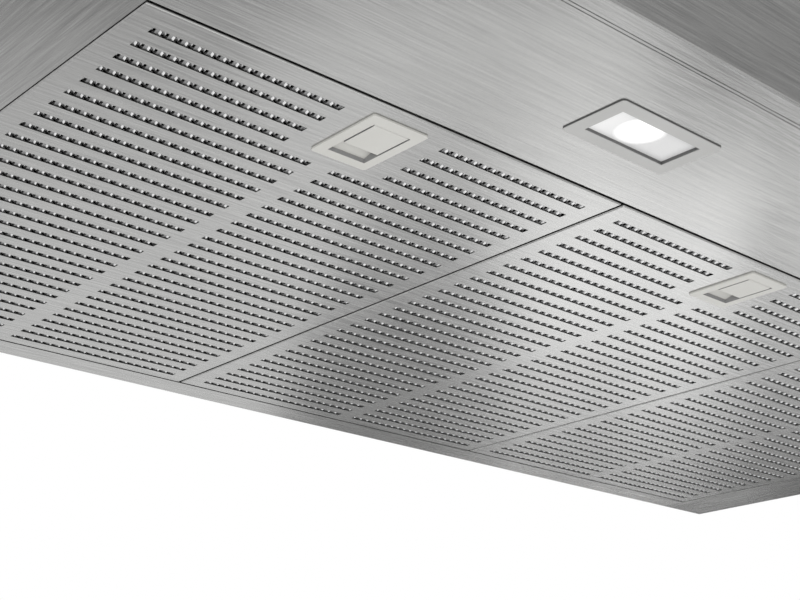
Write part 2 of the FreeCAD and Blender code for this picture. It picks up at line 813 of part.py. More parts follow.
def control_housing():
    """Box behind the buttons, open to the front panel."""
    body = new_body("control_housing")
    width = "control_width + 2 * control_margin"
    height = "control_height + 2 * control_margin"
    pad(body, "control_depth", plane="XZ_Plane", offset="-control_back",
        loops=[control_outline(0, width, height)])
    pocket(body, "control_depth - control_wall", plane="XZ_Plane", offset="-control_inside",
           loops=[control_outline(0, f"{width} - 2 * control_wall", f"{height} - 2 * control_wall")])
    keep(body, "control_housing")


def control_board():
    """Circuit board with one switch for each button."""
    body = new_body("control_board")
    pad(body, "board_thickness", plane="XZ_Plane", offset="-board_front", reverse=True,
        loops=[control_outline(0, "control_width", "control_height")])
    switches = [control_outline(step, "switch_size", "switch_size") for step in BUTTONS.values()]
    pad(body, "switch_height", plane="XZ_Plane", offset="-board_front", loops=switches)
    keep(body, "control_board")


# Supply box and cable entry


def supply_box():
    """Connection box on the canopy beside the blower box, its terminals and the cable gland in its lid."""
    x = around("gland_x", "supply_width")
    y = around("supply_y", "supply_depth")
    inside = [(f"{low} + supply_wall", f"{high} - supply_wall") for low, high in (x, y)]
    centre = ("gland_x", "gland_y")
    shell = box("supply_shell", x, y, ("canopy_height", "supply_top"))
    hollow = box("supply_hollow", *inside, ("canopy_height", "supply_top - supply_wall"))
    entry = rod("supply_entry", "z", "gland_radius + fit_gap", "supply_height", (*centre, "canopy_height"))
    keep(cut("junction_box", shell, hollow, entry), "junction_box")
    front = f"{inside[1][0]} + supply_wall"
    terminals = box("terminal_block", around("gland_x", "terminal_width"),
                    (front, f"{front} + terminal_depth"),
                    ("canopy_height", "canopy_height + terminal_height"))
    keep(terminals, "terminal_block")
    low_end = (*centre, "supply_top - gland_reach")
    nut = rod("gland_nut_body", "z", "gland_nut", "gland_nut_height", (*centre, "supply_top"))
    barrel = rod("gland_barrel", "z", "gland_radius", "gland_reach", low_end)
    bore = rod("gland_bore", "z", "cable_radius", "gland_reach + gland_nut_height", low_end)
    keep(cut("cable_gland", fuse("gland_solid", nut, barrel), bore), "cable_gland")


# Blower box


def collar_screw_places():
    return [(f"{x} * collar_screw_spread / 2", f"outlet_y + {y} * collar_screw_spread / 2")
            for x in (-1, 1) for y in (-1, 1)]


def blower_box():
    """Sheet box on the canopy that seals the blower to the air opening."""
    y = ("-fan_depth", "0")
    z = ("canopy_height", "scroll_top")
    across = ("gauge - fan_half", "fan_half - gauge")
    keep(box("fan_box_left", ("-fan_half", "gauge - fan_half"), y, z), "fan_box_left")
    keep(box("fan_box_right", ("fan_half - gauge", "fan_half"), y, z), "fan_box_right")
    keep(box("fan_box_front", across, ("-fan_depth", "gauge - fan_depth"), z), "fan_box_front")
    back = box("fan_back_sheet", across, ("-gauge", "0"), z)
    holes = [rod(f"fan_back_hole_{side}", "y", "hang_radius", "gauge",
                 (f"{sign} * hang_spacing / 2", "-gauge", "hang_high"))
             for side, sign in SIDES.items()]
    keep(cut("fan_box_back", back, *holes), "fan_box_back")
    lid = new_body("fan_box_top")
    outline = rectangle(("-fan_half", "fan_half"), y)
    pad(lid, "gauge", loops=[outline], offset="scroll_top")
    holes = [(place, "screw_hole") for place in collar_screw_places()]
    holes.append((("0", "outlet_y"), "collar_bore"))
    pocket(lid, "2 * gauge", circles=holes, offset="scroll_top", reverse=True)
    keep(lid, "fan_box_top")


# Blower

SCROLL_END = math.radians(270)
SCROLL_STEPS = 12
SPOKE_TURNS = (90, 210, 330)


def spiral_edge(offset, start):
    """Scroll curve from an angle past the top, round the back, to the front, widened by an offset."""
    first = math.asin(size("cutoff_offset") / size("scroll_small"))
    points = []
    for i in range(SCROLL_STEPS + 1):
        angle = start + (SCROLL_END - start) * i / SCROLL_STEPS
        share = (angle - first) / (SCROLL_END - first)
        radius = size("scroll_small") * (1 - share) + size("scroll_large") * share + offset
        points.append(FreeCAD.Vector(0, size("scroll_y") + radius * math.sin(angle),
                                     size("scroll_z") + radius * math.cos(angle)))
    curve = Part.BSplineCurve()
    curve.interpolate(points)
    return curve.toShape(), points[0], points[-1]


def scroll_section():
    """Inner and outer lines of the scroll strip, each from the neck's back to its front."""
    wall = size("scroll_wall")
    lines = []
    for offset in (0, wall):
        start = math.asin((size("cutoff_offset") + offset) / (size("scroll_small") + offset))
        curve, tip, end = spiral_edge(offset, start)
        back = FreeCAD.Vector(0, tip.y, size("scroll_top"))
        front = FreeCAD.Vector(0, end.y, size("scroll_top"))
        lines.append((back, front, [Part.makeLine(back, tip), curve, Part.makeLine(end, front)]))
    return lines


def sheet_solid(edges, start, length):
    """A flat outline in the plane of the scroll, thickened along x."""
    face = Part.Face(Part.Wire(edges))
    face.translate(FreeCAD.Vector(start, 0, 0))
    return face.extrude(FreeCAD.Vector(length, 0, 0))


def disc(radius, start, length):
    centre = FreeCAD.Vector(start, size("scroll_y"), size("scroll_z"))
    return Part.makeCylinder(radius, length, centre, FreeCAD.Vector(1, 0, 0))


def keep_shape(name, shape):
    solid = doc.addObject("Part::Feature", name)
    solid.Shape = shape
    keep(solid, name)


def motor_ring(start, wall):
    """Ring round the motor with three spokes to the edge of the inlet."""
    hole = size("motor_radius") + size("fit_gap")
    outer = hole + size("motor_ring")
    ring = disc(outer, start, wall).cut(disc(hole, start, wall))
    reach = size("inlet_radius") + size("scroll_wall")
    width = size("spoke_width")
    middle = (hole + outer) / 2
    for turn in SPOKE_TURNS:
        spoke = Part.makeBox(wall, width, reach - middle, FreeCAD.Vector(start, -width / 2, middle))
        spoke.rotate(FreeCAD.Vector(), FreeCAD.Vector(1, 0, 0), turn)
        spoke.translate(FreeCAD.Vector(0, size("scroll_y"), size("scroll_z")))
        ring = ring.fuse(spoke)
    return ring


def scroll_case():
    """Scroll strip and its two sides, with the air inlets and the motor's spoked ring."""
    (back, front, inner), (outer_back, outer_front, outer) = scroll_section()
    wall, half = size("scroll_wall"), size("scroll_width") / 2
    strip = inner + [Part.makeLine(front, outer_front)] + outer + [Part.makeLine(outer_back, back)]
    keep_shape("scroll_wrap", sheet_solid(Part.__sortEdges__(strip), -half, 2 * half))
    outline = Part.__sortEdges__(outer + [Part.makeLine(outer_back, outer_front)])
    for side, start in (("left", -half - wall), ("right", half)):
        plate = sheet_solid(outline, start, wall).cut(disc(size("inlet_radius"), start, wall))
        if side == "right":
            plate = plate.fuse(motor_ring(start, wall)).removeSplitter()
        keep_shape("scroll_side_" + side, plate)


def impeller():
    """Double-sided drum impeller on its hub."""
    body = new_body("impeller", y="scroll_y", z="scroll_z")
    centre = ("0", "0")
    ring = [(centre, "impeller_radius"), (centre, "impeller_radius - blade_depth")]
    pad(body, "impeller_disc", circles=[(centre, "impeller_radius")], plane="YZ_Plane", symmetric=True)
    pad(body, "hub_length", circles=[(centre, "hub_radius")], plane="YZ_Plane", symmetric=True)
    blade = pad(body, "impeller_width", plane="YZ_Plane", symmetric=True,
                loops=[rectangle(around("0", "blade_thickness"),
                                 ("impeller_radius - blade_depth + blade_thickness",
                                  "impeller_radius - blade_thickness"))])
    pattern = body.newObject("PartDesign::PolarPattern", "blades")
    pattern.Originals = [blade]
    pattern.Axis = (origin_feature(body, "X_Axis"), [""])
    pattern.Angle = 360
    pattern.setExpression("Occurrences", tied("blade_count"))
    body.Tip = pattern
    doc.recompute()
    pad(body, "impeller_ring", circles=ring, plane="YZ_Plane", offset="impeller_width / 2 - impeller_ring")
    pad(body, "impeller_ring", circles=ring, plane="YZ_Plane", offset="-impeller_width / 2")
    pocket(body, "impeller_width", plane="YZ_Plane", symmetric=True,
           circles=[(centre, "shaft_radius + running_gap")])
    keep(body, "impeller")


def motor():
    """Motor in the right half of the impeller, and the shaft that carries the hub."""
    axis = ("scroll_y", "scroll_z")
    case = rod("motor_case", "x", "motor_radius", "motor_length", ("motor_start", *axis))
    bore = rod("motor_bore", "x", "shaft_radius + running_gap", "shaft_length - hub_length",
               ("motor_start", *axis))
    keep(cut("motor", case, bore), "motor")
    shaft = rod("motor_shaft", "x", "shaft_radius", "shaft_length", ("-hub_length / 2 - gauge", *axis))
    keep(shaft, "motor_shaft")


# Outlet


def outlet():
    """Duct collar on the blower box, with the bearings of its two damper flaps."""
    centre = ("0", "outlet_y")
    tube = rod("collar_tube", "z", "collar_radius", "collar_height", (*centre, "fan_top"))
    flange = box("collar_plate", around("0", "collar_flange"), around("outlet_y", "collar_flange"),
                 ("fan_top", "fan_top + collar_flange_thickness"))
    bore = rod("collar_hollow", "z", "collar_bore", "collar_height", (*centre, "fan_top"))
    bearings = [rod(f"damper_bearing_{name}", "x", "damper_pin + running_gap", "2 * collar_radius",
                    ("-collar_radius", f"outlet_y + {sign} * damper_offset", "damper_z"))
                for name, sign in DAMPERS.items()]
    screws = [rod(f"collar_screw_hole_{i}", "z", "screw_hole", "collar_flange_thickness", (*place, "fan_top"))
              for i, place in enumerate(collar_screw_places())]
    solid = fuse("collar_solid", tube, flange)
    keep(cut("outlet_collar", solid, bore, *bearings, *screws), "outlet_collar")


def damper_flap(name, sign):
    """Half-round flap on its hinge rod."""
    low = "damper_z - damper_thickness / 2"
    radius = "collar_bore - damper_gap"
    axis_y = f"outlet_y + {sign} * damper_offset"
    whole = rod(f"flap_disc_{name}", "z", radius, "damper_thickness", ("0", "outlet_y", low))
    far = f"outlet_y - {sign} * collar_radius"
    unwanted = box(f"flap_cut_{name}", around("0", "2 * collar_radius"),
                   (far, axis_y) if sign > 0 else (axis_y, far), (low, f"{low} + damper_thickness"))
    half_pin = "(collar_bore + damper_reach)"
    pin = rod(f"flap_pin_{name}", "x", "damper_pin", f"2 * {half_pin}",
              (f"-{half_pin}", axis_y, "damper_z"))
    plate = cut(f"flap_half_{name}", whole, unwanted)
    keep(fuse(f"damper_flap_{name}", plate, pin), f"damper_flap_{name}")


# Chimney covers


def cover_plan(half, front, rear):
    """Plan of a cover: three walls and two return edges at the wall."""
    return [
        (f"-({half})", rear),
        (f"-({half})", front),
        (half, front),
        (half, rear),
        (f"{half} - chimney_return", rear),
        (f"{half} - chimney_return", f"{rear} - gauge"),
        (f"{half} - gauge", f"{rear} - gauge"),
        (f"{half} - gauge", f"{front} + gauge"),
        (f"gauge - ({half})", f"{front} + gauge"),
        (f"gauge - ({half})", f"{rear} - gauge"),
        (f"chimney_return - ({half})", f"{rear} - gauge"),
        (f"chimney_return - ({half})", rear),
    ]


def chimney_lower():
    """Fixed cover that stands on the canopy on two screwed feet."""
    body = new_body("chimney_lower")
    pad(body, "chimney_lower_height", offset="canopy_height",
        loops=[cover_plan("chimney_half", "-chimney_depth", "0")])
    height, front = size("chimney_lower_height"), -size("chimney_depth")
    round_edges(body, "bend_radius", lambda b: near(b.ZLength, height) and flat_at(b.YMin, b.YMax, front))
    feet = [rectangle((f"{sign} * (chimney_half - gauge)", f"{sign} * (chimney_half - gauge - chimney_foot)"),
                      ("gauge - chimney_depth", "-gauge"))
            for sign in SIDES.values()]
    pad(body, "gauge", offset="canopy_height", loops=feet)
    pocket(body, "gauge", offset="canopy_height", reverse=True,
           circles=[(place, "screw_hole") for place in screw_places()])
    keep(body, "chimney_lower")


def chimney_upper():
    """Sliding cover with air vents, which stands on the feet of the lower one."""
    body = new_body("chimney_upper")
    pad(body, "chimney_upper_height", offset="upper_low",
        loops=[cover_plan("chimney_half - upper_inset", "upper_inset - chimney_depth", "-upper_inset")])
    height = size("chimney_upper_height")
    front = size("upper_inset") - size("chimney_depth")
    round_edges(body, "bend_radius", lambda b: near(b.ZLength, height) and flat_at(b.YMin, b.YMax, front))
    vents = [rectangle(around("-chimney_depth / 2", "vent_length"),
                       around(f"upper_top - vent_drop - {i} * vent_pitch", "vent_width"))
             for i in range(int(size("vent_count")))]
    pocket(body, "2 * chimney_width", loops=vents, plane="YZ_Plane", symmetric=True)
    keep(body, "chimney_upper")


def chimney_bracket():
    """Stepped bar behind the upper cover's return edges, screwed to the wall."""
    z = ("upper_top - bracket_drop - bracket_height", "upper_top - bracket_drop")
    body = new_body("chimney_bracket")
    front = "-upper_inset - gauge"
    behind = "2 * (chimney_half - upper_inset - gauge - slide_gap)"
    between = "2 * (chimney_half - upper_inset - chimney_return - bracket_inset)"
    pad(body, behind, plane="YZ_Plane", symmetric=True, loops=[rectangle((f"{front} - gauge", front), z)])
    pad(body, between, plane="YZ_Plane", symmetric=True, loops=[rectangle((front, "0"), z)])
    level = "upper_top - bracket_drop - bracket_height / 2"
    holes = [((f"{sign} * bracket_spacing / 2", level), "bracket_hole") for sign in SIDES.values()]
    pocket(body, "chimney_depth", circles=holes, plane="XZ_Plane", reverse=True)
    keep(body, "chimney_bracket")


# Screws


def screw_group(name, places, level):
    """Pan-head screws with their heads on a level."""
    screws = []
    for i, place in enumerate(places):
        head = rod(f"{name}_head_{i}", "z", "screw_head", "screw_head_height", (*place, level))
        shank = rod(f"{name}_shank_{i}", "z", "screw_radius", "screw_length",
                    (*place, f"{level} - screw_length"))
        screws.append(fuse(f"{name}_{i}", head, shank))
    keep(group(name, *screws), name)


canopy_top()
canopy_back()
front_panel()
light_panel()
for side_name, side_sign in SIDES.items():
    canopy_side(side_name, side_sign)
    lamp_bezel(side_name, side_sign)
    lamp_lens(side_name, side_sign)
    lamp_body(side_name, side_sign)
    lamp_led(side_name, side_sign)
for filter_name, filter_place in FILTERS.items():
    filter_face(filter_name, filter_place)
    filter_mesh(filter_name, filter_place)
    filter_back(filter_name, filter_place)
    latch_bezel(filter_name, filter_place)
    latch_paddle(filter_name, filter_place)
control_bezel()
control_housing()
control_board()
for button_name, button_step in BUTTONS.items():
    button(button_name, button_step)
supply_box()
blower_box()
scroll_case()
impeller()
motor()
outlet()
for damper_name, damper_sign in DAMPERS.items():
    damper_flap(damper_name, damper_sign)
chimney_lower()
chimney_upper()
chimney_bracket()
screw_group("chimney_screws", screw_places(), "upper_low")
screw_group("collar_screws", collar_screw_places(), "fan_top + collar_flange_thickness")
doc.recompute()

for thing in doc.Objects:
    if {"Invalid", "Error"} & set(thing.State):
        raise RuntimeError(f"{thing.Name} failed: {thing.State}")
for solid in subparts:
    if solid.Shape.isNull() or not solid.Shape.isValid():
        raise RuntimeError(f"{solid.Label} has no valid shape")

os.makedirs("parts", exist_ok=True)
for solid in subparts:
    solid.Shape.exportStep(f"parts/{solid.Label}.step")
    print(solid.Label, len(solid.Shape.Solids), round(solid.Shape.Volume, 1))
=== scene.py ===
import math

import bpy
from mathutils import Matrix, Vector


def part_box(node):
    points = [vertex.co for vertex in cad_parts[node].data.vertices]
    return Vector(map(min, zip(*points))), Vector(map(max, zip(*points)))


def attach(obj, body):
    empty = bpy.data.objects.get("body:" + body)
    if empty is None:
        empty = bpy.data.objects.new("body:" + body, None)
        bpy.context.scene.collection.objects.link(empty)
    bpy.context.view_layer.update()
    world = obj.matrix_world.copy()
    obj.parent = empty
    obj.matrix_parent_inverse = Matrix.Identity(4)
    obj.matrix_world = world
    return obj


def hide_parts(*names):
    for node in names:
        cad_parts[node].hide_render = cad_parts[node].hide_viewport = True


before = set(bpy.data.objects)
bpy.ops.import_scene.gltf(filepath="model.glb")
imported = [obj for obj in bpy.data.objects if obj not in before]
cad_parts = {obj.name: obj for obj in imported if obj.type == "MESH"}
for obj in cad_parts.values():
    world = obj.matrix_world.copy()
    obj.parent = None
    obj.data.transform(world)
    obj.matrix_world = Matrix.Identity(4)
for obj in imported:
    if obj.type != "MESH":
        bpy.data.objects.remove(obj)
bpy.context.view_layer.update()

MM = 0.001
SIDES = ("left", "right")
FILTERS = ("left", "middle", "right")
BUTTONS = ("off", "low", "medium", "high", "light")
FAN_BOX_SHEETS = ("left", "right", "front", "back", "top")


# Node trees

# Usual lowest and highest value of a noise
NOISE_LOW = 0.3
NOISE_HIGH = 0.7
# Places of sockets in a Mix node, where each kind of value has sockets of the same names
MIX_NUMBERS = (2, 3)
MIX_COLOURS = (6, 7)
MIX_COLOUR_RESULT = 2


def grey(value):
    return (value, value, value)


def even(scale):
    """The same scale along each axis."""
    return (scale, scale, scale)


class Graph:
    """A material's node tree, with short calls that add and join nodes."""

    def __init__(self, name, **settings):
        self.material = bpy.data.materials.new(name)
        self.material.use_nodes = True
        self.tree = self.material.node_tree
        self.shader = self.tree.nodes["Principled BSDF"]
        self.place = self.add("TexCoord").outputs["Object"]
        for socket, value in settings.items():
            self.shader.inputs[socket.replace("_", " ")].default_value = value

    def add(self, kind, **settings):
        node = self.tree.nodes.new("ShaderNode" + kind)
        for key, value in settings.items():
            setattr(node, key, value)
        return node

    def join(self, output, socket):
        self.tree.links.new(output, socket)

    def feed(self, output, socket):
        """Join an output to one of the surface shader's sockets."""
        self.join(output, self.shader.inputs[socket])

    def show(self, output):
        """Make a shader the material's surface."""
        self.join(output, self.tree.nodes["Material Output"].inputs["Surface"])

    def stretched(self, scale, place=(0, 0, 0)):
        """Object coordinates about a place, scaled by a number for each axis."""
        mapping = self.add("Mapping", vector_type="TEXTURE")
        mapping.inputs["Location"].default_value = place
        mapping.inputs["Scale"].default_value = [1 / s for s in scale]
        self.join(self.place, mapping.inputs["Vector"])
        return mapping.outputs["Vector"]

    def axes(self, vector):
        """The three parts of a vector."""
        split = self.add("SeparateXYZ")
        self.join(vector, split.inputs[0])
        return split.outputs

    def noise(self, scale, detail=3, roughness=0.5):
        """Noise of about 0.5, with a scale in cells per metre for each axis."""
        texture = self.add("TexNoise")
        texture.inputs["Scale"].default_value = 1
        texture.inputs["Detail"].default_value = detail
        texture.inputs["Roughness"].default_value = roughness
        self.join(self.stretched(scale), texture.inputs["Vector"])
        return texture.outputs["Fac"]

    def cells(self, scale):
        """A random grey for each cell of a Voronoi pattern, in cells per metre."""
        texture = self.add("TexVoronoi")
        texture.inputs["Scale"].default_value = 1
        self.join(self.stretched(scale), texture.inputs["Vector"])
        split = self.add("SeparateColor")
        self.join(texture.outputs["Color"], split.inputs["Color"])
        return split.outputs["Red"]

    def mapped(self, source, low, high, to_low=0, to_high=1):
        """A value taken from one range to another, and held inside it."""
        node = self.add("MapRange")
        values = (low, high, to_low, to_high)
        for socket, value in zip(("From Min", "From Max", "To Min", "To Max"), values):
            node.inputs[socket].default_value = value
        self.join(source, node.inputs["Value"])
        return node.outputs["Result"]

    def spread(self, noise, to_low=0, to_high=1):
        """A noise's usual values taken to another range."""
        return self.mapped(noise, NOISE_LOW, NOISE_HIGH, to_low, to_high)

    def blend(self, factor, dark, light):
        """A colour between two, by a factor."""
        node = self.add("Mix", data_type="RGBA")
        self.join(factor, node.inputs["Factor"])
        for socket, colour in zip(MIX_COLOURS, (dark, light)):
            if isinstance(colour, bpy.types.NodeSocket):
                self.join(colour, node.inputs[socket])
            else:
                node.inputs[socket].default_value = (*colour, 1)
        return node.outputs[MIX_COLOUR_RESULT]

    def arithmetic(self, operation, *values):
        """The result of an operation on numbers and on outputs of nodes."""
        node = self.add("Math", operation=operation)
        for socket, value in zip(node.inputs, values):
            if isinstance(value, bpy.types.NodeSocket):
                self.join(value, socket)
            else:
                socket.default_value = value
        return node.outputs[0]

    def bump(self, height, strength, distance):
        """Fine relief."""
        node = self.add("Bump")
        node.inputs["Strength"].default_value = strength
        node.inputs["Distance"].default_value = distance
        self.join(height, node.inputs["Height"])
        self.feed(node.outputs["Normal"], "Normal")


# Materials, with the scales of their patterns in cells per metre

ALONG_X, ALONG_Y, ALONG_Z = range(3)

# A face is upright where the upward part of its normal is less than this
UPRIGHT_LIMIT = 0.3

GRAIN_ACROSS = {"fine": 1300, "broad": 480}
GRAIN_ALONG = {"fine": 28, "broad": 18}
GRAIN_DETAIL = {"fine": 4, "broad": 3}
GRAIN_SHARE = {"fine": 0.6, "broad": 0.4}
GRAIN_ROUGHNESS = 0.6
STEEL_SHADES = ((0.37, 0.37, 0.365), (0.57, 0.57, 0.56))
STEEL_SHADE_GRAIN = (0.36, 0.64)
STEEL_ROUGH = (0.19, 0.26)
STEEL_ROUGH_GRAIN = (0.35, 0.65)
STEEL_CLOUDS = 5
STEEL_CLOUD_ROUGH = 0.02
STEEL_BUMP = 0.12
STEEL_RELIEF = 0.06 * MM
SLOT_SHADE = grey(0.04)

ZINC_SPANGLE = 90
ZINC_DUST = 700
ZINC_SHADES = ((0.44, 0.46, 0.47), (0.58, 0.6, 0.61))
ZINC_ROUGH = (0.34, 0.46)
ZINC_DUST_ROUGH = 0.06
ZINC_BUMP = 0.1

METAL_ROUGH_SPREAD = (-0.05, 0.07)
METAL_BUMP = 0.08
METAL_RELIEF = 0.1 * MM

SKIN = 2600
SKIN_CLOUDS = 30
SKIN_ROUGH_SPREAD = (-0.05, 0.06)
SKIN_SPECULAR = 0.4
SKIN_BUMP = 0.15
SKIN_RELIEF = 0.04 * MM
HOLE_SHADE = grey(0.27)

LAMP_FRAME_SHADES = ((0.42, 0.42, 0.41), (0.45, 0.45, 0.44))
LAMP_FRAME_PAINTED_SHADE = grey(0.1)
LAMP_FRAME_ROUGH = 0.4
LAMP_FRAME_BLUR = 0.1 * MM

LENS_FROST = 1800
LENS_SHADES = (grey(0.6), grey(0.66))
LENS_ROUGH = 0.35
LENS_BUMP = 0.08
LENS_RELIEF = 0.03 * MM
LENS_LIGHT = (1, 1, 0.985, 1)
LENS_DIM = 0.06
LENS_WASH = 0.22
LENS_WASH_REACH = (-18 * MM, 8 * MM)
LENS_GLOW = 0.6
LENS_GLOW_EDGE = (0.02, 0.3)
LENS_GLOW_RADIUS = 13 * MM
LENS_GLOW_DEPTH = 100 * LENS_GLOW_RADIUS


def hole_walls(graph, low, high):
    """1 on upright faces in a box with these two corners, 0 on all else: the mask for painted shade on
    the walls of holes.
    """
    place = graph.axes(graph.place)
    normal = graph.axes(graph.add("TexCoord").outputs["Normal"])
    found = graph.arithmetic("LESS_THAN", graph.arithmetic("ABSOLUTE", normal["Z"]), UPRIGHT_LIMIT)
    for axis, bottom, top in zip("XYZ", low, high):
        above = graph.arithmetic("GREATER_THAN", place[axis], bottom)
        below = graph.arithmetic("LESS_THAN", place[axis], top)
        found = graph.arithmetic("MULTIPLY", found, graph.arithmetic("MULTIPLY", above, below))
    return found


def brushed_steel(name, along, stretch=0.75, painted_shade_part=1, slots=None):
    """Stainless sheet brushed along one axis, with reflections that stretch across the grain.

    Its colour is scaled by a part of the full brightness, which below 1 is painted shade.
    Slots gives the two corners of a box in which the walls of holes get painted shade.
    """
    graph = Graph(name, Metallic=1, Anisotropic=stretch)

    def streaks(kind):
        scale = [GRAIN_ACROSS[kind]] * 3
        scale[along] = GRAIN_ALONG[kind]
        return graph.noise(scale, GRAIN_DETAIL[kind], GRAIN_ROUGHNESS)

    fine = streaks("fine")
    broad = streaks("broad")
    clouds = graph.noise(even(STEEL_CLOUDS), detail=2)
    grain = graph.arithmetic("ADD", graph.arithmetic("MULTIPLY", fine, GRAIN_SHARE["fine"]),
                             graph.arithmetic("MULTIPLY", broad, GRAIN_SHARE["broad"]))
    shades = [[painted_shade_part * part for part in shade] for shade in STEEL_SHADES]
    colour = graph.blend(graph.mapped(grain, *STEEL_SHADE_GRAIN), *shades)
    # Painted shade on the walls of the slots
    if slots:
        colour = graph.blend(hole_walls(graph, *slots), colour, SLOT_SHADE)
    graph.feed(colour, "Base Color")
    rough = graph.arithmetic("ADD", graph.mapped(grain, *STEEL_ROUGH_GRAIN, *STEEL_ROUGH),
                             graph.spread(clouds, -STEEL_CLOUD_ROUGH, STEEL_CLOUD_ROUGH))
    graph.feed(rough, "Roughness")
    across = graph.add("CombineXYZ")
    for axis in range(3):
        across.inputs[axis].default_value = axis != along
    graph.feed(across.outputs[0], "Tangent")
    graph.bump(fine, STEEL_BUMP, STEEL_RELIEF)
    return graph.material


def galvanised_sheet(name):
    """Zinc-coated sheet with its spangle."""
    graph = Graph(name, Metallic=1)
    spangle = graph.cells(even(ZINC_SPANGLE))
    dust = graph.noise(even(ZINC_DUST))
    graph.feed(graph.blend(spangle, *ZINC_SHADES), "Base Color")
    rough = graph.arithmetic("ADD", graph.mapped(spangle, 0, 1, *ZINC_ROUGH),
                             graph.spread(dust, 0, ZINC_DUST_ROUGH))
    graph.feed(rough, "Roughness")
    graph.bump(dust, ZINC_BUMP, METAL_RELIEF)
    return graph.material


def bare_metal(name, dark, light, rough, speckle=900):
    """Plain metal with a fine mottle."""
    graph = Graph(name, Metallic=1)
    mottle = graph.noise(even(speckle))
    graph.feed(graph.blend(graph.spread(mottle), dark, light), "Base Color")
    limits = [rough + change for change in METAL_ROUGH_SPREAD]
    graph.feed(graph.spread(mottle, *limits), "Roughness")
    graph.bump(mottle, METAL_BUMP, METAL_RELIEF)
    return graph.material


def fine_skin(name, dark, light, rough, skin=SKIN, relief=SKIN_RELIEF, holes=None):
    """Surface with a fine skin, such as moulded plastic, enamel or dull aluminium.

    Holes gives the two corners of a box in which the walls of holes get painted shade.
    """
    graph = Graph(name, Specular_IOR_Level=SKIN_SPECULAR)
    pores = graph.noise(even(skin), detail=2)
    clouds = graph.noise(even(SKIN_CLOUDS))
    colour = graph.blend(graph.spread(clouds), dark, light)
    # Painted shade on the walls of the holes
    if holes:
        colour = graph.blend(hole_walls(graph, *holes), colour, HOLE_SHADE)
    graph.feed(colour, "Base Color")
    limits = [rough + change for change in SKIN_ROUGH_SPREAD]
    graph.feed(graph.spread(pores, *limits), "Roughness")
    graph.bump(pores, SKIN_BUMP, relief)
    return graph.material


def frame_with_painted_shade(name, level):
    """Satin frame with painted shade on its walls above a level, past its visible face."""
    graph = Graph(name, Roughness=LAMP_FRAME_ROUGH)
    pores = graph.noise(even(SKIN), detail=2)
    clouds = graph.noise(even(SKIN_CLOUDS))
    face = graph.blend(graph.spread(clouds), *LAMP_FRAME_SHADES)
    # Painted shade on the frame's walls above the level
    behind = graph.mapped(graph.axes(graph.place)["Z"], level, level + LAMP_FRAME_BLUR)
    graph.feed(graph.blend(behind, face, LAMP_FRAME_PAINTED_SHADE), "Base Color")
    graph.bump(pores, SKIN_BUMP, SKIN_RELIEF)
    return graph.material


def lit_lens(name, centre):
    """Frosted lamp window with the round glow of the light behind it, and a wash of light to -x."""
    graph = Graph(name, Roughness=LENS_ROUGH, Emission_Color=LENS_LIGHT)
    frost = graph.noise(even(LENS_FROST), detail=2)
    graph.feed(graph.blend(frost, *LENS_SHADES), "Base Color")
    glow = graph.add("TexGradient", gradient_type="SPHERICAL")
    reach = (LENS_GLOW_RADIUS, LENS_GLOW_RADIUS, LENS_GLOW_DEPTH)
    graph.join(graph.stretched([1 / length for length in reach], centre), glow.inputs["Vector"])
    spot = graph.mapped(glow.outputs["Fac"], *LENS_GLOW_EDGE, LENS_DIM, LENS_GLOW)
    beside = graph.axes(graph.stretched(even(1), centre))["X"]
    wash = graph.mapped(beside, *LENS_WASH_REACH, LENS_WASH, LENS_DIM)
    graph.feed(graph.arithmetic("MAXIMUM", wash, spot), "Emission Strength")
    graph.bump(frost, LENS_BUMP, LENS_RELIEF)
    return graph.material


STEEL_ACROSS = brushed_steel("steel_across", ALONG_X)
# Canopy sides: the same steel painted a little darker, as painted shade
STEEL_DEPTH = brushed_steel("steel_depth", ALONG_Y, stretch=0.2, painted_shade_part=0.78)
STEEL_UPRIGHT = brushed_steel("steel_upright", ALONG_Z)
ZINC = galvanised_sheet("zinc_sheet")
# Expanded aluminium: a darker copy for painted shade on the strand faces, and a near-white copy for a
# painted highlight on their edges
STRAND_SHADED = fine_skin("aluminium_strand_painted_shade", grey(0.22), grey(0.3), rough=0.45, skin=900)
STRAND_HIGHLIGHT = fine_skin("aluminium_painted_highlight", grey(0.86), grey(0.94), rough=0.35, skin=900)
# A near-black sheet of painted shade that stands for the shade inside the filter
PAINTED_SHADE_SHEET = bare_metal("filter_painted_shade", grey(0.02), grey(0.045), rough=0.6)
HOUSING = bare_metal("cast_housing", (0.42, 0.43, 0.44), (0.54, 0.55, 0.56), rough=0.45)
SCREW = bare_metal("zinc_screw", (0.5, 0.5, 0.48), (0.62, 0.62, 0.6), rough=0.28)
SHAFT = bare_metal("ground_steel", grey(0.5), grey(0.6), rough=0.22)
MOTOR = fine_skin("motor_enamel", grey(0.25), grey(0.3), rough=0.4)
LED = fine_skin("led_board", (0.85, 0.85, 0.8), (0.9, 0.9, 0.86), rough=0.35)
CONTROL = fine_skin("control_frame", grey(0.018), grey(0.026), rough=0.16, skin=900, relief=0.01 * MM)
BUTTON = bare_metal("button_metal", grey(0.52), grey(0.6), rough=0.26, speckle=1800)
BOARD = fine_skin("circuit_board", (0.02, 0.12, 0.05), (0.03, 0.17, 0.07), rough=0.4)
BLACK = fine_skin("black_plastic", grey(0.022), grey(0.034), rough=0.45)
WHITE = fine_skin("white_plastic", (0.74, 0.74, 0.7), (0.8, 0.8, 0.76), rough=0.4)
SCROLL = fine_skin("scroll_plastic", grey(0.1), grey(0.13), rough=0.5)
IMPELLER = fine_skin("impeller_plastic", grey(0.035), grey(0.05), rough=0.45)
DAMPER = fine_skin("damper_plastic", grey(0.06), grey(0.08), rough=0.5)


# Looks of the CAD nodes

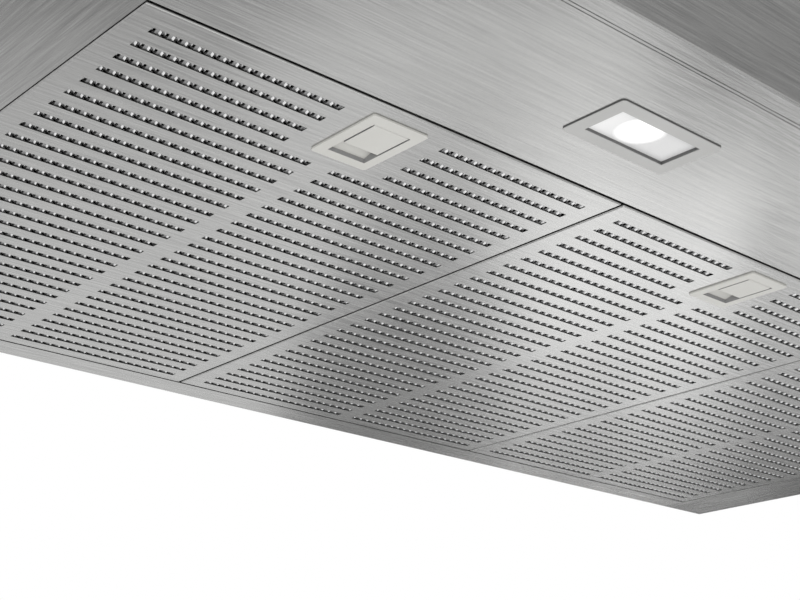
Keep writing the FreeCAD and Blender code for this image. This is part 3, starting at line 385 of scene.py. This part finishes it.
# The box of the slots' painted shade starts this far inside the edges of a filter face, and is this deep
SLOT_MARGIN = Vector((6, 6, 0)) * MM
SLOT_DEPTH = 0.6 * MM
# The box of the painted shade in the holes starts this far inside the edges of a latch frame, and goes
# past its faces
LATCH_RIM = Vector((3, 3, -1)) * MM
LATCH_SHADES = ((0.54, 0.535, 0.505), (0.57, 0.565, 0.535))
LATCH_ROUGH = 0.42
# Painted shade on a lamp frame starts this far above its visible face
LAMP_FACE_DEPTH = 0.3 * MM
LENS_GLOW_SHIFT = Vector((-4, -2, 0)) * MM


def paint(material, *names):
    """Give CAD nodes a material."""
    for name in names:
        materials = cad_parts[name].data.materials
        materials.clear()
        materials.append(material)


def each(stem, endings):
    """Names made of a stem and each of the endings."""
    return [f"{stem}_{ending}" for ending in endings]


def paint_filter_face(name):
    """Steel with painted shade on the walls of its slots."""
    low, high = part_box(f"filter_face_{name}")
    top = Vector((high.x, high.y, low.z + SLOT_DEPTH))
    slots = (low + SLOT_MARGIN, top - SLOT_MARGIN)
    paint(brushed_steel(f"steel_filter_{name}", ALONG_X, slots=slots), f"filter_face_{name}")


def paint_latch(name):
    """Plastic with painted shade in the gaps round the paddle."""
    low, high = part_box(f"latch_bezel_{name}")
    holes = (low + LATCH_RIM, high - LATCH_RIM)
    plastic = fine_skin(f"latch_plastic_{name}", *LATCH_SHADES, LATCH_ROUGH, holes=holes)
    paint(plastic, f"latch_bezel_{name}", f"latch_paddle_{name}")


def paint_lamp_frames():
    """Frames with painted shade on their walls above their visible faces."""
    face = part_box("lamp_bezel_left")[0].z
    paint(frame_with_painted_shade("lamp_frame", face + LAMP_FACE_DEPTH), *each("lamp_bezel", SIDES))


def paint_lens(side):
    """Window with its glow a little off its middle."""
    low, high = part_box(f"lamp_lens_{side}")
    paint(lit_lens(f"lens_{side}", (low + high) / 2 + LENS_GLOW_SHIFT), f"lamp_lens_{side}")


paint(STEEL_ACROSS, "canopy_top", "canopy_back", "front_panel", "light_panel")
paint(STEEL_DEPTH, *each("canopy_side", SIDES))
paint(STEEL_UPRIGHT, "chimney_lower", "chimney_upper")
paint(ZINC, "chimney_bracket", *each("fan_box", FAN_BOX_SHEETS), *each("filter_back", FILTERS))
for filter_name in FILTERS:
    paint_filter_face(filter_name)
    paint_latch(filter_name)
paint_lamp_frames()
for lamp_side in SIDES:
    paint_lens(lamp_side)
paint(HOUSING, *each("lamp_body", SIDES))
paint(LED, *each("lamp_led", SIDES))
paint(CONTROL, "control_bezel")
paint(BUTTON, *each("button", BUTTONS))
paint(BOARD, "control_board")
paint(BLACK, "control_housing", "cable_gland", "outlet_collar", "junction_box")
paint(WHITE, "terminal_block")
paint(SCROLL, "scroll_wrap", *each("scroll_side", SIDES))
paint(IMPELLER, "impeller")
paint(DAMPER, "damper_flap_front", "damper_flap_rear")
paint(MOTOR, "motor")
paint(SHAFT, "motor_shaft")
paint(SCREW, "chimney_screws", "collar_screws")


# Expanded metal in the filters

# Distances between rows and in a row, and from the front edge of the filter face to the first row
ROW = 4.15 * MM
CELL = 5.91 * MM
FIRST_ROW = 15.6 * MM
SHEET_DEPTH = 0.3 * MM
# Half the length of a strand, and how far it leans sideways over that half
STRAND_HALF = 2 * MM
STRAND_LEAN = 0.23 * STRAND_HALF
# Across a strand: a face that rises to a fold, then an edge that drops from it
FACE_WIDTH = 1.8 * MM
FACE_RISE = 0.4 * MM
EDGE_WIDTH = 0.8 * MM
EDGE_DROP = 0.65 * MM
# Sections of a strand, in half lengths from its middle
STRAND_SECTIONS = (-1, -0.75, 0.5, 1)
# The side of a strand, and the stretch between its sections, that get the painted highlight
HIGHLIGHT_SIDE = 1
HIGHLIGHT_STRETCH = 1
# The second layer's height above the first, and its part of the full strand width
SECOND_RISE = 0.95 * MM
SECOND_WIDTH = 0.55
# Depth of the sheet of painted shade, and the height of its middle above the bottom of the mesh
SHADE_SHEET_DEPTH = 0.16 * MM
SHADE_SHEET_RISE = 2 * MM
LATCH_ROOM = Vector((1, 1, 0)) * MM


class Solid:
    """Vertices and faces of a mesh that grows bar by bar."""

    def __init__(self):
        self.points = []
        self.faces = []
        self.bright = []

    def bar(self, sections, highlight_side=None):
        """A closed bar through sections with the same number of points.

        The bright side, where one is given, gets a painted highlight in one stretch.
        """
        first = len(self.points)
        count = len(sections[0])
        for section in sections:
            self.points.extend(section)
        last = first + count * (len(sections) - 1)
        self.faces.append([first + i for i in reversed(range(count))])
        self.faces.append([last + i for i in range(count)])
        for stretch, start in enumerate(range(first, last, count)):
            for i in range(count):
                j = (i + 1) % count
                if i == highlight_side and stretch == HIGHLIGHT_STRETCH:
                    self.bright.append(len(self.faces))
                self.faces.append([start + i, start + j, start + count + j, start + count + i])

    def piece(self, name, *materials):
        """The mesh as an object, with the second material, a painted highlight, on its bright sides."""
        mesh = bpy.data.meshes.new(name)
        mesh.from_pydata(self.points, [], self.faces)
        for material in materials:
            mesh.materials.append(material)
        for face in self.bright:
            mesh.polygons[face].material_index = 1
        piece = bpy.data.objects.new(name, mesh)
        bpy.context.scene.collection.objects.link(piece)
        return piece


def strand_profile(share):
    """Points round a strand's section, by their distance across it and their rise.

    Share is the part of the full strand width.
    """
    places = (0, FACE_WIDTH * share, (FACE_WIDTH + EDGE_WIDTH) * share)
    rises = (EDGE_DROP - FACE_RISE, EDGE_DROP, 0)
    outside = list(zip(places, rises))
    inside = [(across, rise + SHEET_DEPTH) for across, rise in reversed(outside)]
    return outside + inside


def strand_layer(low, high, keep_out, first_row, level, up, share):
    """Rows of folded strands, each row half a cell from the next, left out round the latch.

    Level is the height of the outermost edge, and up is 1, or -1 for a layer that faces up.
    Share is the strands' part of the full strand width.
    """
    solid = Solid()
    profile = strand_profile(share)
    width = (FACE_WIDTH + EDGE_WIDTH) * share
    columns = int((high.x - low.x - width - CELL / 2 - 2 * STRAND_LEAN) / CELL) + 1
    start_x = (low.x + high.x - (columns - 0.5) * CELL - width) / 2 + CELL / 4
    ahead = int((first_row - STRAND_HALF - low.y) / ROW)
    behind = int((high.y - STRAND_HALF - first_row) / ROW)
    for row in range(-ahead, behind + 1):
        y = first_row + row * ROW
        for column in range(columns):
            x = start_x + column * CELL + (row % 2 - 0.5) * CELL / 2
            beside = x + width + STRAND_LEAN < keep_out[0].x or x - STRAND_LEAN > keep_out[1].x
            if beside or y - STRAND_HALF > keep_out[1].y:
                sections = [[(x + across + part * STRAND_LEAN, y + part * STRAND_HALF, level + up * rise)
                             for across, rise in profile] for part in STRAND_SECTIONS]
                solid.bar(sections, HIGHLIGHT_SIDE)
    return solid


def shade_sheet(low, high, keep_out):
    """Three flat near-black blocks at one height, beside and behind the latch: painted shade inside the
    filter.
    """
    solid = Solid()
    middle = low.z + SHADE_SHEET_RISE
    bottom, top = middle - SHADE_SHEET_DEPTH / 2, middle + SHADE_SHEET_DEPTH / 2
    blocks = ((low.x, keep_out[0].x, low.y), (keep_out[1].x, high.x, low.y),
              (keep_out[0].x, keep_out[1].x, keep_out[1].y))
    for left, right, front in blocks:
        corners = ((high.y, top), (front, top), (front, bottom), (high.y, bottom))
        solid.bar([[(end, y, z) for y, z in corners] for end in (left, right)])
    return solid


def filter_pack(name):
    """Expanded metal on both sides of a near-black sheet of painted shade, in place of the plain mesh
    slab.
    """
    low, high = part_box(f"filter_mesh_{name}")
    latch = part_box(f"latch_bezel_{name}")
    keep_out = (latch[0] - LATCH_ROOM, latch[1] + LATCH_ROOM)
    first_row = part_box(f"filter_face_{name}")[0].y + FIRST_ROW
    sheets = {"filter_strands": (first_row, low.z, 1, 1),
              "filter_strands_second": (first_row + ROW, low.z + SECOND_RISE, 1, SECOND_WIDTH),
              "filter_strands_upper": (first_row, high.z, -1, 1)}
    layers = []
    for stem, values in sheets.items():
        strands = strand_layer(low, high, keep_out, *values)
        # Strand faces get painted shade and their bright sides a painted highlight
        layers.append(strands.piece(f"{stem}_{name}", STRAND_SHADED, STRAND_HIGHLIGHT))
    layers.append(shade_sheet(low, high, keep_out).piece(f"filter_shade_sheet_{name}", PAINTED_SHADE_SHEET))
    for piece in layers:
        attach(piece, f"filter_{name}")
    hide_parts(f"filter_mesh_{name}")


for filter_name in FILTERS:
    filter_pack(filter_name)


# Stage: floor, sky, lights and camera

FLOOR_LEVEL = -1.7
FLOOR_RADIUS = 11
FLOOR_SIDES = 96
FLOOR_MOTTLE = 3
FLOOR_SHADES = (grey(0.74), grey(0.78))
FLOOR_ROUGH = 0.8
FLOOR_CARD_RISE = 0.005
FLOOR_LIGHT_RISE = 0.01
SKY_LIGHT = 0.8
SKY_SEEN = 1
HOOD_MIDDLE = (0, -0.2, 0.3)
CAMERA_PLACE = Vector((-0.627, -0.7915, -0.2831))
CAMERA_TARGET = Vector((0.1215, 0.0454, 0.1404))
CAMERA_LENS = 64.9
CAMERA_SENSOR = 36
CAMERA_NEAR = 0.01


def stand(name, data, place, target):
    """An object in the scene at a place, with its -Z axis turned to a target."""
    thing = bpy.data.objects.new(name, data)
    thing.location = place
    thing.rotation_euler = (Vector(target) - Vector(place)).to_track_quat("-Z", "Y").to_euler()
    bpy.context.scene.collection.objects.link(thing)
    return thing


def stage_floor():
    """Round pale floor that is seen from above only."""
    turns = [2 * math.pi * i / FLOOR_SIDES for i in range(FLOOR_SIDES)]
    rim = [(FLOOR_RADIUS * math.cos(turn), FLOOR_RADIUS * math.sin(turn), FLOOR_LEVEL) for turn in turns]
    mesh = bpy.data.meshes.new("floor")
    mesh.from_pydata(rim, [], [list(range(FLOOR_SIDES))])
    floor = bpy.data.objects.new("floor", mesh)
    bpy.context.scene.collection.objects.link(floor)
    graph = Graph("floor", Roughness=FLOOR_ROUGH, Specular_IOR_Level=0)
    mottle = graph.noise(even(FLOOR_MOTTLE), detail=4)
    graph.feed(graph.blend(mottle, *FLOOR_SHADES), "Base Color")
    clear = graph.add("BsdfTransparent")
    mix = graph.add("MixShader")
    graph.join(graph.add("NewGeometry").outputs["Backfacing"], mix.inputs[0])
    graph.join(graph.shader.outputs[0], mix.inputs[1])
    graph.join(clear.outputs[0], mix.inputs[2])
    graph.show(mix.outputs[0])
    mesh.materials.append(graph.material)


def sky():
    """White background, which metal and glass show too, and a softer level for the lighting."""
    world = bpy.data.worlds.new("sky")
    bpy.context.scene.world = world
    world.use_nodes = True
    tree = world.node_tree
    path = tree.nodes.new("ShaderNodeLightPath")
    seen = path.outputs["Is Camera Ray"]
    for ray in ("Is Glossy Ray", "Is Transmission Ray"):
        either = tree.nodes.new("ShaderNodeMath")
        either.operation = "MAXIMUM"
        tree.links.new(seen, either.inputs[0])
        tree.links.new(path.outputs[ray], either.inputs[1])
        seen = either.outputs[0]
    choose = tree.nodes.new("ShaderNodeMix")
    for socket, level in zip(MIX_NUMBERS, (SKY_LIGHT, SKY_SEEN)):
        choose.inputs[socket].default_value = level
    tree.links.new(seen, choose.inputs[0])
    background = tree.nodes["Background"]
    background.inputs["Color"].default_value = (1, 1, 1, 1)
    tree.links.new(choose.outputs[0], background.inputs["Strength"])


def soft_light(name, place, target, size, radiance, mirrored=False):
    """Rectangular light of a width and a length, as bright as a surface of that radiance.

    Only a mirrored light shows in the steel.
    """
    data = bpy.data.lights.new(name, "AREA")
    data.shape = "RECTANGLE"
    data.size, data.size_y = size
    data.energy = radiance * math.pi * size[0] * size[1]
    light = stand(name, data, place, target)
    light.visible_camera = False
    light.visible_glossy = mirrored
    return light


def floor_light(name, x, y, size, turn, radiance):
    """Light that lies on the floor and faces up, turned by some degrees."""
    place = (x, y, FLOOR_LEVEL + FLOOR_LIGHT_RISE)
    light = soft_light(name, place, (x, y, 0), size, radiance, mirrored=True)
    light.rotation_euler = (math.pi, 0, math.radians(turn))


def flag(name, place, target, size, radiance):
    """Grey studio card that only shows as a reflection in the steel."""
    graph = Graph(name)
    glow = graph.add("Emission")
    glow.inputs["Strength"].default_value = radiance
    graph.show(glow.outputs[0])
    width, height = size[0] / 2, size[1] / 2
    corners = [(-width, -height, 0), (width, -height, 0), (width, height, 0), (-width, height, 0)]
    mesh = bpy.data.meshes.new(name)
    mesh.from_pydata(corners, [], [(0, 1, 2, 3)])
    mesh.materials.append(graph.material)
    card = stand(name, mesh, place, target)
    for ray in ("camera", "diffuse", "transmission", "volume_scatter", "shadow"):
        setattr(card, "visible_" + ray, False)


def floor_flag(name, x, y, size, radiance):
    """Grey card that lies on the floor, under the floor lights."""
    flag(name, (x, y, FLOOR_LEVEL + FLOOR_CARD_RISE), (x, y, 0), size, radiance)


def camera():
    """The photo's view."""
    data = bpy.data.cameras.new("camera")
    data.lens = CAMERA_LENS
    data.sensor_width = CAMERA_SENSOR
    data.sensor_fit = "HORIZONTAL"
    data.clip_start = CAMERA_NEAR
    bpy.context.scene.camera = stand("camera", data, CAMERA_PLACE, CAMERA_TARGET)


stage_floor()
sky()
# Soft lights on the hood, which the steel doesn't mirror
soft_light("key", place=(-2.2, -2.6, 2.6), target=HOOD_MIDDLE, size=(3.6, 3.6), radiance=1.25)
soft_light("fill", place=(2.8, 1.6, 2.2), target=HOOD_MIDDLE, size=(2.4, 2.4), radiance=1.05)
soft_light("low_front", place=(-1.9, -2.4, -0.9), target=(-1.6, -2.05, 0), size=(1.2, 1.2), radiance=8.6)
# Lights on the floor, which the underside mirrors as a bright streak and pools of light
floor_light("streak_near", x=3.42, y=2.45, size=(2.3, 0.9), turn=38, radiance=1.52)
floor_light("streak_far", x=4.55, y=3, size=(0.9, 0.6), turn=36, radiance=1.5)
floor_light("pool_rear", x=2.1, y=3.85, size=(4, 1.5), turn=60, radiance=0.66)
floor_light("pool_near", x=1.95, y=1.75, size=(1.2, 1), turn=38, radiance=0.95)
floor_light("pool_front", x=3.75, y=1.55, size=(2.4, 0.7), turn=34, radiance=0.9)
floor_light("floor_below", x=-0.15, y=-0.15, size=(2.3, 1.2), turn=0, radiance=0.9)
# Cards that the steel mirrors as the darker parts of a room
floor_flag("floor_flag", x=4.9, y=4.1, size=(9, 7.6), radiance=0.35)
flag("front_flag", place=(4.2, -4.2, 2.2), target=(0, 0, 0), size=(7, 4.5), radiance=0.4)
flag("rear_flag", place=(5.25, 3.47, 1.2), target=(0, 0, 1.2), size=(4.9, 5.6), radiance=0.04)
camera()
bpy.context.scene.view_settings.view_transform = "Standard"
